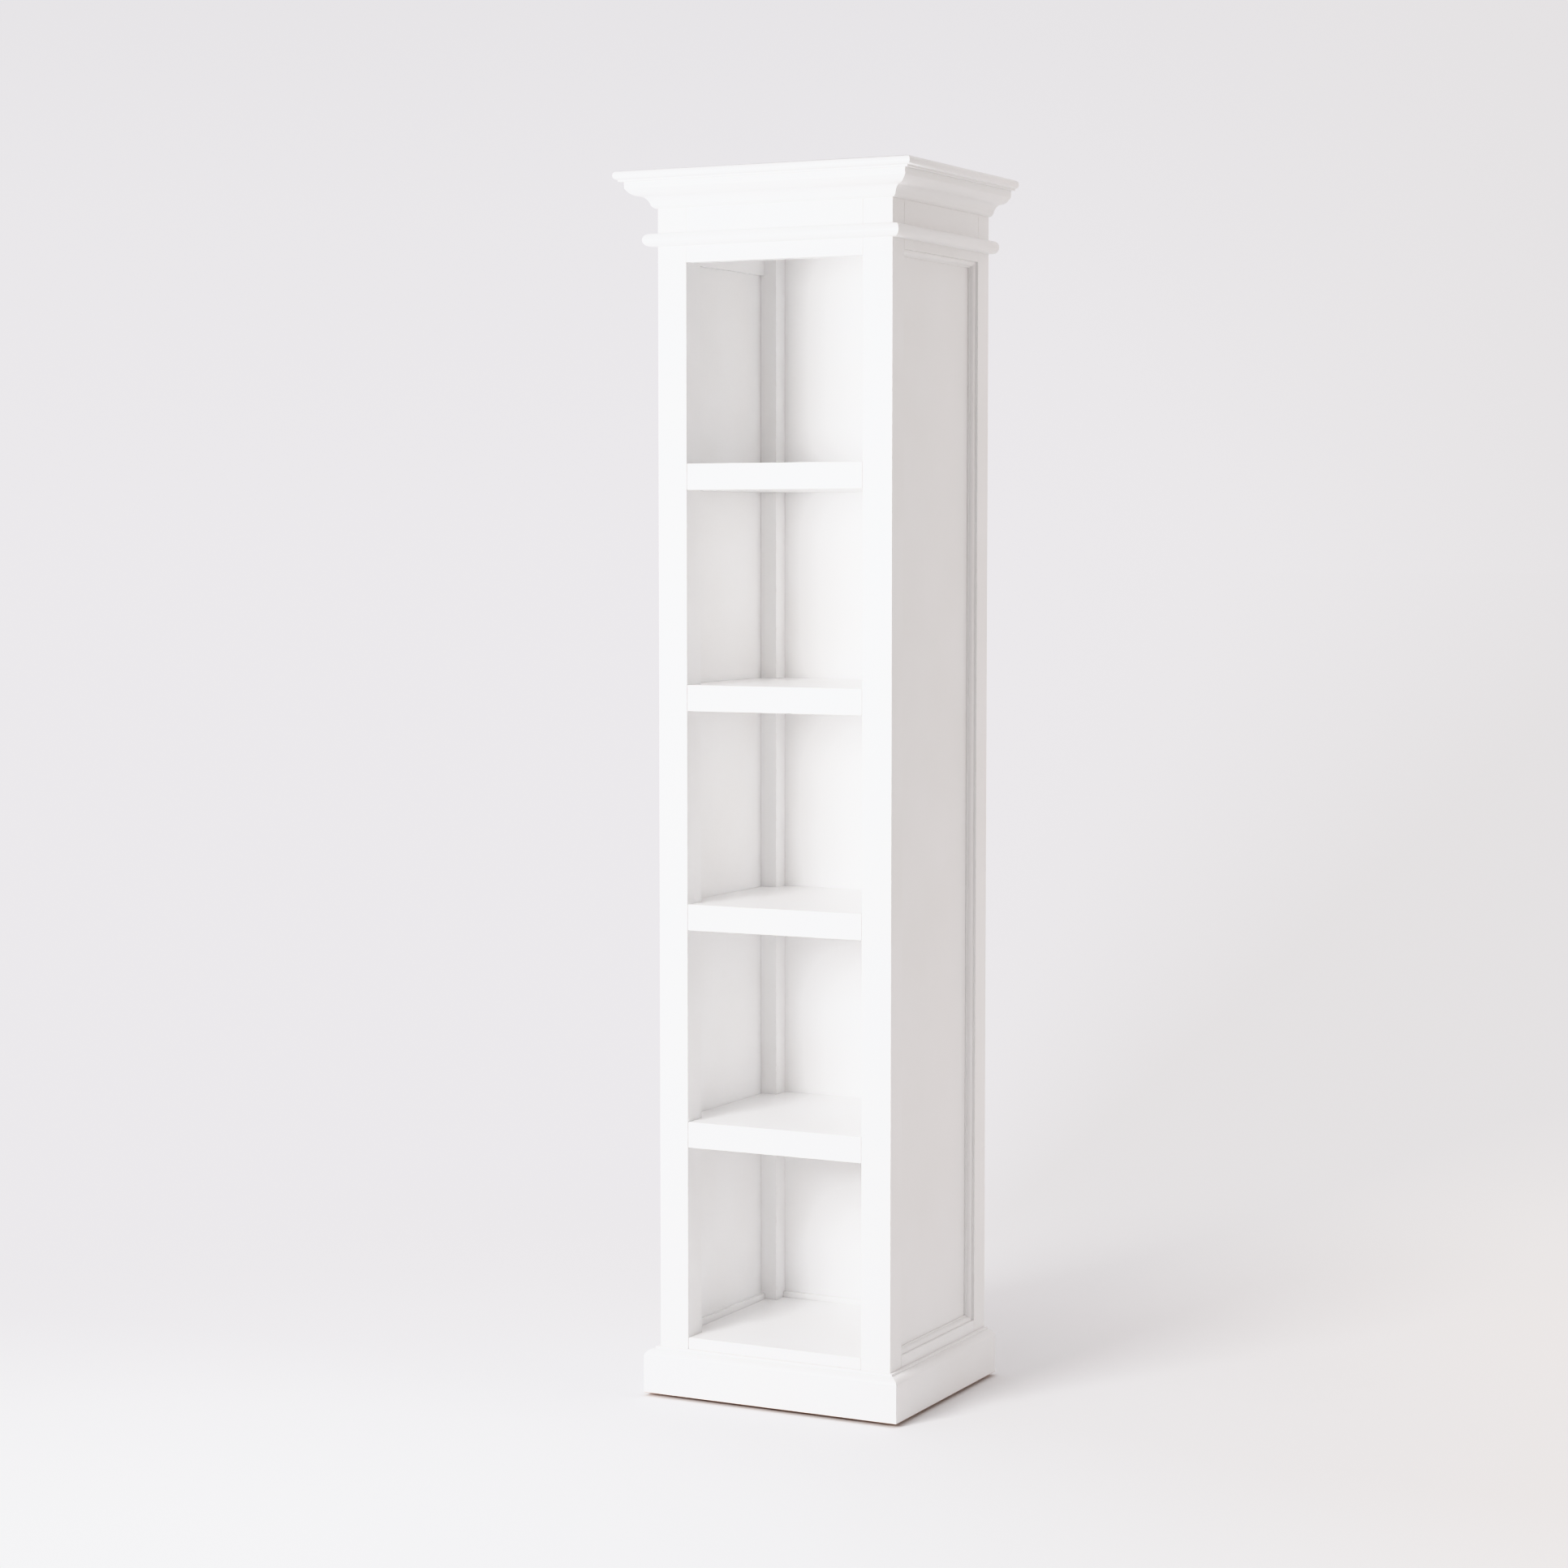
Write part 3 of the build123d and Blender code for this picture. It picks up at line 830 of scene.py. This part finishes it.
@dataclass
class PanelWork:
    """The side and back panels and the mitred beads that hold them."""

    shop: Workshop
    paint: SatinPaint
    bead_paint: SatinPaint
    step_width: float = 1.8 * MM
    step_height: float = 3.2 * MM
    flat: float = 1.8 * MM
    cove_in: float = 1.6 * MM
    cove_drop: float = 2.2 * MM
    nose_arris: float = 0.35 * MM
    panel_arris: float = 0.4 * MM

    def build(self) -> None:
        """Make the panels and their beads."""
        for side in Side:
            self.panel(f"side_panel_{side.word}")
            self.side_beads(side)
        self.panel("back_panel")
        self.back_beads()

    def panel(self, node: str) -> None:
        """A flat panel with eased edges.

        Args:
            node: its CAD node.
        """
        box = Block.of(node)
        outline = rectangle((box.low.x, box.low.y), (box.high.x, box.high.y))
        bm = prism(outline, Grain.ALONG_Z, box.low.z, box.high.z)
        soften(bm, self.panel_arris)
        self.shop.painted(node, bm, self.paint, Grain.ALONG_Z, Slot.PANEL)

    def stepped_section(self, width: float, height: float) -> list[Point]:
        """The stepped and coved bead: first number from the sight edge, second up from the panel.

        Args:
            width: the bead's width.
            height: the bead's height over the panel.

        Returns:
            The section's corners.
        """
        start = (self.step_width, self.step_height)
        middle = (self.step_width + self.cove_in, height - self.cove_drop)
        cove = arc(start, middle, (width - self.flat, height), 6)
        return [(0.0, 0.0), (0.0, self.step_height), *cove, (width, height), (width, 0.0)]

    def plain_section(self, width: float, height: float) -> list[Point]:
        """The plain square bead."""
        return [(0.0, 0.0), (0.0, height), (width, height), (width, 0.0)]

    def ring_of_beads(self, nodes: Sequence[str], section: Sequence[Point], low: Point, high: Point,
                      level_grain: Grain, level: Placer) -> None:
        """Four beads round a panel, mitred at its corners.

        Args:
            nodes: the CAD nodes of the first upright, the second upright, the bottom and the top bead.
            section: the section's corners.
            low: where the ring starts across the panel, and its bottom.
            high: where it ends across the panel, and its top.
            level_grain: the axis that the bottom and top beads run along.
            level: turns a place across the panel, a place up it and a height over it into a point.
        """
        def upright(run: float, across: float, height: float) -> Vector:
            """A point of a bead that stands."""
            return level(across, run, height)

        width = max(u for u, _ in section)
        corners = [(width - u, h) for u, h in section]
        jobs = [(low[1], high[1], low[0], 1, upright, Grain.ALONG_Z),
                (low[1], high[1], high[0], -1, upright, Grain.ALONG_Z),
                (low[0], high[0], low[1], 1, level, level_grain),
                (low[0], high[0], high[1], -1, level, level_grain)]
        for node, (start, end, edge, inwards, place, grain) in zip(nodes, jobs):
            rings = []
            for limit, sign in ((start, 1), (end, -1)):
                rings.append([place(limit + sign * inset, edge + inwards * inset, h) for inset, h in corners])
            bm = loft(rings)
            soften(bm, self.nose_arris, sharper_than=30.0, segments=2)
            self.shop.painted(node, bm, self.bead_paint, grain, Slot.MOULDING)

    def side_beads(self, side: Side) -> None:
        """The four stepped beads of one side panel.

        Args:
            side: the side of the case.
        """
        front, rear = Block.of("side_bead_front_right"), Block.of("side_bead_rear_right")
        bottom, top = Block.of("side_bead_bottom_right"), Block.of("side_bead_top_right")
        base = front.low.x
        section = self.stepped_section(front.high.y - front.low.y, front.high.x - front.low.x)

        def outside(y: float, z: float, height: float) -> Vector:
            """A point so far out from the side panel."""
            return Vector((side.value * (base + height), y, z))

        nodes = [f"side_bead_{where}_{side.word}" for where in ("front", "rear", "bottom", "top")]
        self.ring_of_beads(nodes, section, (front.low.y, bottom.low.z), (rear.high.y, top.high.z),
                           Grain.ALONG_Y, outside)

    def back_beads(self) -> None:
        """The four plain beads behind the back panel."""
        left = Block.of("back_bead_left")
        bottom, top = Block.of("back_bead_bottom"), Block.of("back_bead_top")
        base = left.low.y
        reach = Block.of("back_bead_right").high.x
        section = self.plain_section(left.high.x - left.low.x, left.high.y - left.low.y)

        def behind(x: float, z: float, height: float) -> Vector:
            """A point so far out from the back panel."""
            return Vector((x, base + height, z))

        nodes = [f"back_bead_{where}" for where in ("left", "right", "bottom", "top")]
        self.ring_of_beads(nodes, section, (-reach, bottom.low.z), (reach, top.high.z), Grain.ALONG_X, behind)


@dataclass
class Shelving:
    """Fixed shelves with solid front edges, and the floor board."""

    shop: Workshop
    paint: SatinPaint
    count: int = 4
    lip_arris: float = 1.1 * MM
    board_arris: float = 0.5 * MM
    post_play: float = 0.8 * MM
    floor_play: float = 0.2 * MM

    def build(self) -> None:
        """Make the shelves and the floor board."""
        for number in range(1, self.count + 1):
            self.board(f"shelf_{number}", Block.of(f"shelf_lip_{number}").low.x, self.board_arris)
            self.lip(f"shelf_lip_{number}")
        self.board("floor_board", Block.of("shelf_lip_1").low.x - self.floor_play, self.lip_arris)

    def board(self, node: str, narrow: float, arris: float) -> None:
        """A board notched round the four posts.

        Args:
            node: its CAD node.
            narrow: its left edge between the posts.
            arris: radius that its edges are rounded to.
        """
        box = Block.of(node)
        wide = box.low.x
        front = Block.of("post_front_right").high.y + self.post_play
        rear = Block.of("post_rear_right").low.y - self.post_play
        half = [(narrow, box.low.y), (narrow, front), (wide, front)]
        half += [(wide, rear), (narrow, rear), (narrow, box.high.y)]
        outline = half + [(-x, y) for x, y in reversed(half)]
        bm = prism(outline, Grain.ALONG_Z, box.low.z, box.high.z)
        soften(bm, arris)
        self.shop.painted(node, bm, self.paint, Grain.ALONG_X, Slot.BOARD)

    def lip(self, node: str) -> None:
        """The solid front edge of a shelf.

        Args:
            node: its CAD node.
        """
        box = Block.of(node)
        back = Block.of(node.replace("_lip", "")).low.y
        section = rectangle((box.low.y, box.low.z), (back, box.high.z))
        bm = prism(section, Grain.ALONG_X, box.low.x, box.high.x)
        soften(bm, self.lip_arris)
        self.shop.painted(node, bm, self.paint, Grain.ALONG_X, Slot.BOARD)


@dataclass
class Mouldings:
    """Crown, astragal, plinth and the bullnosed top board."""

    shop: Workshop
    paint: SatinPaint
    board_paint: SatinPaint
    wood: RawWood
    mitre_arris: float = 0.25 * MM
    mitre_crack: float = 0.1 * MM
    foot_arris: float = 0.7 * MM
    foot_slope: float = 0.35
    nose_radius: float = 6.4 * MM
    fillet: float = 6.4 * MM
    fillet_height: float = 2.5 * MM
    crown_bead: tuple[Point, Point] = ((4.77 * MM, 1.41 * MM), (8.0 * MM, 5.2 * MM))
    crown_cove: tuple[Point, Point] = ((10.3 * MM, 11.0 * MM), (16.4 * MM, 17.0 * MM))
    crown_step: Point = (18.4 * MM, 17.8 * MM)
    crown_ovolo: Point = (31.5 * MM, 22.0 * MM)
    crown_quirk: Point = (0.9 * MM, 28.2 * MM)
    crown_fascia: float = 29.5 * MM
    plinth_drops: Triple = (13.0 * MM, 6.2 * MM, 3.2 * MM)
    plinth_outs: Triple = (14.6 * MM, 6.2 * MM, 5.6 * MM)

    def build(self) -> None:
        """Make all the mouldings and the top board."""
        self.run("crown", self.crown_section())
        self.run("astragal", self.astragal_section())
        self.run("plinth", self.plinth_section())
        self.top_board()

    def reach(self, name: str) -> Point:
        """How far a moulding stands out from the case, and its height."""
        box = Block.of(f"{name}_front")
        return Block.of("post_front_right").low.y - box.low.y, box.high.z - box.low.z

    def crown_section(self) -> list[Point]:
        """Bead, cove, ovolo and fascia: first number out from the case, second up from the lower edge.

        Returns:
            The section's corners.
        """
        out, height = self.reach("crown")
        top = (out - self.crown_quirk[0], self.crown_quirk[1])
        bead = arc((0.0, 0.0), *self.crown_bead, 6)
        cove = arc(self.crown_bead[1], *self.crown_cove, 8)
        ovolo = arc(self.crown_step, self.crown_ovolo, top, 10)
        return [*bead, *cove[1:], *ovolo, (out, self.crown_fascia), (out, height), (0.0, height)]

    def astragal_section(self) -> list[Point]:
        """A flat with a half-round nose.

        Returns:
            The section's corners.
        """
        out, height = self.reach("astragal")
        radius = height / 2
        nose = arc((out - radius, 0.0), (out, radius), (out - radius, height), 14)
        return [(0.0, 0.0), *nose, (0.0, height)]

    def plinth_section(self) -> list[Point]:
        """A plain face, an ovolo and a small step.

        Returns:
            The section's corners.
        """
        out, height = self.reach("plinth")
        start, middle, step = (height - drop for drop in self.plinth_drops)
        middle_out, end_out, lip_out = self.plinth_outs
        ovolo = arc((out, start), (middle_out, middle), (end_out, step), 8)
        foot = [(0.0, 0.0), (out - self.foot_arris, 0.0), (out, self.foot_arris)]
        return [*foot, *ovolo, (lip_out, step), (lip_out, height), (0.0, height)]

    def run(self, name: str, section: Sequence[Point]) -> None:
        """A moulding round the front and both sides, mitred at the front corners.

        Args:
            name: crown, astragal or plinth.
            section: its section.
        """
        post = Block.of("post_front_right")
        edge, front = post.high.x, post.low.y
        base = Block.of(f"{name}_front").low.z
        back = Block.of(f"{name}_right").high.y
        crack = self.mitre_crack
        ends = []
        for side in Side:
            ends.append([Vector((side.value * (edge + p - crack), front - p, base + z)) for p, z in section])
        self.length(f"{name}_front", ends, Grain.ALONG_X)
        for side in Side:
            corner = [Vector((side.value * (edge + p), front - p + crack, base + z)) for p, z in section]
            end = [Vector((point.x, back, point.z)) for point in corner]
            self.length(f"{name}_{side.word}", [corner, end], Grain.ALONG_Y)

    def length(self, node: str, ends: Sequence[Sequence[Vector]], grain: Grain) -> None:
        """One length of a moulding; a plinth board's foot is left bare, with its sanded lower arris.

        Args:
            node: its CAD node.
            ends: its section at either end.
            grain: direction of its grain.
        """
        bm = loft(ends)
        soften(bm, self.mitre_arris, sharper_than=40.0, segments=2)
        piece = self.shop.painted(node, bm, self.paint, grain, Slot.MOULDING)
        if node.startswith("plinth"):
            foot = Block.of("plinth_front").low.z + self.foot_arris
            piece.data.materials.append(self.wood.material(grain))
            for polygon in piece.data.polygons:
                if polygon.center.z < foot and polygon.normal.z < -self.foot_slope:
                    polygon.material_index = 1

    def top_board(self) -> None:
        """The cap: fillet, bullnose on three edges, square at the back."""
        box = Block.of("top_board")
        z_low, z_high = box.low.z, box.high.z
        nose_low = z_low + self.fillet_height
        radius = self.nose_radius
        under = quarter((radius, nose_low), (0.0, nose_low), (0.0, nose_low + radius))
        over = quarter((0.0, z_high - radius), (0.0, z_high), (radius, z_high))
        rings = []
        for inset, z in [(self.fillet, z_low), (self.fillet, nose_low), *under[:-1], *over]:
            x, y = box.high.x - inset, box.low.y + inset
            rings.append([Vector((*point, z)) for point in rectangle((-x, y), (x, box.high.y))])
        bm = loft(rings)
        soften(bm, self.mitre_arris, sharper_than=60.0, segments=2)
        self.shop.painted("top_board", bm, self.board_paint, Grain.ALONG_X, Slot.BOARD)


@dataclass
class Feet:
    """The nail-on glides."""

    shop: Workshop
    plastic: MouldedPlastic
    steps: int = 40
    rim: float = 2.4 * MM
    arris: float = 0.3 * MM
    hub: float = 0.3

    def build(self) -> None:
        """Turn the four glides."""
        material = self.plastic.material()
        for row in ("front", "rear"):
            for side in Side:
                self.glide(f"glide_{row}_{side.word}", material)

    def glide(self, node: str, material: Material) -> None:
        """One turned glide with a rounded rim.

        Args:
            node: its CAD node.
            material: its finish.
        """
        box = Block.of(node)
        centre = (box.low + box.high) / 2
        radius = (box.high.x - box.low.x) / 2
        low, high = box.low.z, box.high.z
        rim = quarter((radius - self.rim, low), (radius, low), (radius, low + self.rim))
        rings = []
        for r, z in [(radius * self.hub, low), *rim, (radius, high), (radius * self.hub, high)]:
            rings.append([Vector((centre.x + x, centre.y + y, z)) for x, y in circle(r, self.steps)])
        bm = loft(rings)
        soften(bm, self.arris, sharper_than=60.0, segments=2)
        self.shop.piece(f"{node}_turned", bm, material, Slot.GLIDE, node)


@dataclass
class HiddenFixings:
    """Dowels, cleats, pins, screws and nails, which keep their CAD shape."""

    shop: Workshop
    wood: RawWood
    steel: DrawnSteel

    def build(self) -> None:
        """Dress each of them."""
        for node, grain in (("shelf_dowels", Grain.ALONG_X), ("top_dowels", Grain.ALONG_Z),
                            ("floor_cleat_left", Grain.ALONG_Y), ("floor_cleat_right", Grain.ALONG_Y)):
            self.shop.dress(node, self.wood.material(grain))
        for node, grain in (("moulding_pins", Grain.ALONG_Y), ("bead_pins", Grain.ALONG_Y),
                            ("cleat_screws", Grain.ALONG_X), ("glide_nails", Grain.ALONG_Z)):
            self.shop.dress(node, self.steel.material(grain))


# ---------------------------------------------------------------- studio


@dataclass
class Studio:
    """A pale seamless surround, a soft box close in front to the left, and the camera."""

    floor_radius: float = 150.0
    floor_rings: int = 28
    floor_steps: int = 96
    ring_growth: int = 3
    floor_white: Triple = (0.855, 0.850, 0.855)
    floor_grey: float = 0.93
    grey_patches: Point = (0.40, 0.75)
    grey_most: float = 0.25
    mottle_cells: float = 1.6
    grit_cells: float = 260.0
    grit_depth: float = 0.0001
    floor_dull: Point = (0.3, 0.7)
    floor_roughness: Point = (0.80, 0.92)
    # where the floor's painted glow starts and where it is whole; the early start lightens the case's shadow
    fade: Point = (0.05, 2.2)
    low_sky: Triple = (0.925, 0.905, 0.930)
    high_sky: Triple = (0.850, 0.832, 0.853)
    sky_rise: Point = (0.0, 0.16)
    right_wall: Triple = (0.830, 0.808, 0.815)
    right_wall_turn: Point = (-0.42, -0.20)
    back_right: Triple = (0.98, 0.935, 0.915)
    back_right_turn: Point = (0.10, 0.80)
    front_glow: Triple = (1.15, 1.15, 1.16)
    front_glow_turn: Point = (-0.1, -0.9)
    flag_radius: float = 2.3
    flag_height: float = 3.6
    flag_turn: Point = (-77.0, -8.0)
    flag_steps: int = 24
    flag_tone: Triple = (0.34, 0.32, 0.31)
    flag_shade: float = 0.8
    felt_cells: float = 300.0
    key_power: float = 65.0
    key_size: Point = (0.9, 0.9)
    key_place: Triple = (-0.60, -2.55, 1.42)
    key_target: Triple = (-0.1, 0.0, 1.0)
    key_tint: Triple = (0.955, 0.982, 1.0)
    camera_place: Triple = (2.3811, -4.7706, 1.3337)
    camera_tilt: float = 85.969
    camera_turn: float = 27.091
    lens: float = 78.446
    sensor: float = 36.0
    sight: float = 500.0
    bounces: int = 12

    def build(self) -> None:
        """Set the stage."""
        self.surround()
        self.floor()
        self.flag()
        self.key()
        self.camera()

    def tone(self, g: Graph, direction: Socket) -> Socket:
        """The room's tone in a direction: a glow in front, a duller wall behind, a white one at the right.

        Args:
            g: the tree to add to.
            direction: unit vector away from the case.

        Returns:
            The colour socket.
        """
        parts = g.add("SeparateXYZ")
        g.join(direction, parts.inputs[0])
        x, y, z = parts.outputs
        colour = g.blend(g.ramp(z, *self.sky_rise), self.low_sky, self.high_sky)
        colour = g.blend(g.ramp(x, *self.right_wall_turn), colour, self.right_wall)
        colour = g.blend(g.ramp(x, *self.back_right_turn), colour, self.back_right)
        return g.blend(g.ramp(y, *self.front_glow_turn), colour, self.front_glow)

    def surround(self) -> None:
        """The room round the stage."""
        world = bpy.data.worlds.new("studio")
        bpy.context.scene.world = world
        g = Graph(world)
        g.feed(Color=self.tone(g, g.add("TexCoord").outputs["Generated"]))

    def floor(self) -> None:
        """A wide disc whose painted glow hides the horizon and lightens the case's shadow on it."""
        bm = bmesh.new()
        centre = bm.verts.new((0.0, 0.0, 0.0))
        loops = []
        for ring in range(1, self.floor_rings + 1):
            radius = self.floor_radius * (ring / self.floor_rings) ** self.ring_growth
            loops.append([bm.verts.new((x, y, 0.0)) for x, y in circle(radius, self.floor_steps)])
        for i in range(self.floor_steps):
            following = (i + 1) % self.floor_steps
            bm.faces.new((centre, loops[0][i], loops[0][following]))
            for here, there in zip(loops, loops[1:]):
                bm.faces.new((here[i], there[i], there[following], here[following]))
        stand("studio_floor", bm, self.floor_material())

    def floor_material(self) -> Material:
        """Matt white studio paint with faint mottling; a painted glow in the room's tone grows with distance.

        Returns:
            The material.
        """
        made = bpy.data.materials.new("studio_floor")
        g = Graph(made)
        place = g.add("TexCoord").outputs["Object"]
        distance = g.add("VectorMath", operation="LENGTH")
        g.join(place, distance.inputs[0])
        away = g.add("VectorMath", operation="NORMALIZE")
        g.join(place, away.inputs[0])
        # painted light: the glow's share grows from 5 cm out, which lightens the case's cast shadow on the
        # floor
        far = g.ramp(distance.outputs["Value"], *self.fade)
        far.node.interpolation_type = "SMOOTHSTEP"
        mottle = g.noise(place, self.mottle_cells, detail=4.0)
        greyer = [self.floor_grey * part for part in self.floor_white]
        paint = g.blend(g.ramp(mottle, *self.grey_patches, 0.0, self.grey_most), self.floor_white, greyer)
        paint = g.blend(far, paint, BLACK)
        glow = g.blend(far, BLACK, self.tone(g, away.outputs["Vector"]))
        grit = g.bump(g.noise(place, self.grit_cells), self.grit_depth)
        dull = g.ramp(mottle, *self.floor_dull, *self.floor_roughness)
        g.feed(Base_Color=paint, Emission_Color=glow, Roughness=dull, Normal=grit)
        g.set(IOR=1.3, Emission_Strength=1.0, Specular_IOR_Level=0.0)
        return made

    def flag(self) -> None:
        """A tall dull curved card at the front right, out of the picture, that keeps light off that side."""
        bm = bmesh.new()
        edges = []
        start, end = self.flag_turn
        for i in range(self.flag_steps + 1):
            turn = math.radians(start + (end - start) * i / self.flag_steps)
            x, y = self.flag_radius * math.cos(turn), self.flag_radius * math.sin(turn)
            edges.append([bm.verts.new((x, y, z)) for z in (0.0, self.flag_height)])
        for here, there in zip(edges, edges[1:]):
            bm.faces.new((here[0], there[0], there[1], here[1]))
        felt = bpy.data.materials.new("studio_flag")
        g = Graph(felt)
        weave = g.noise(g.add("TexCoord").outputs["Object"], self.felt_cells)
        darker = [self.flag_shade * part for part in self.flag_tone]
        g.feed(Base_Color=g.blend(weave, self.flag_tone, darker))
        g.set(Roughness=0.9, Specular_IOR_Level=0.0)
        flag = stand("studio_flag", bm, felt)
        flag.visible_camera = False

    def key(self) -> None:
        """The soft box."""
        data = bpy.data.lights.new("key", "AREA")
        data.shape = "RECTANGLE"
        data.size, data.size_y = self.key_size
        data.energy = self.key_power
        data.color = self.key_tint
        key = enter("key", data)
        key.location = self.key_place
        aim = Vector(self.key_target) - Vector(self.key_place)
        key.rotation_euler = aim.to_track_quat("-Z", "Y").to_euler()
        key.visible_camera = False

    def camera(self) -> None:
        """The camera, standing to the front right at chest height."""
        data = bpy.data.cameras.new("camera")
        data.lens = self.lens
        data.sensor_width = self.sensor
        data.clip_end = self.sight
        camera = enter("camera", data)
        camera.location = self.camera_place
        camera.rotation_euler = Euler((math.radians(self.camera_tilt), 0.0, math.radians(self.camera_turn)))
        scene = bpy.context.scene
        bpy.context.scene.camera = camera
        scene.view_settings.view_transform = "Khronos PBR Neutral"
        scene.cycles.diffuse_bounces = self.bounces


def main() -> None:
    """Build every sub-assembly in order and report the pieces."""
    logging.basicConfig(level=logging.INFO, format="%(name)s %(message)s")
    shop = Workshop()
    frame_paint = SatinPaint("satin_paint_frame")
    panel_paint = SatinPaint("satin_paint_panel", stroke_depth=0.00003, peel_depth=0.00005, roughness=0.42)
    moulding_paint = SatinPaint("satin_paint_moulding", roughness=0.38, wave_depth=0.0003, wear=0.15)
    board_paint = SatinPaint("satin_paint_board", roughness=0.36)
    raw_wood = RawWood("raw_hardwood")
    assemblies = [
        CarcassFrame(shop, frame_paint),
        PanelWork(shop, panel_paint, moulding_paint),
        Shelving(shop, board_paint),
        Mouldings(shop, moulding_paint, board_paint, raw_wood),
        Feet(shop, MouldedPlastic("glide_plastic")),
        HiddenFixings(shop, raw_wood, DrawnSteel("drawn_steel")),
    ]
    for assembly in assemblies:
        log.info("building %s", type(assembly).__name__)
        assembly.build()
    Studio().build()


if __name__ == "__main__":
    main()
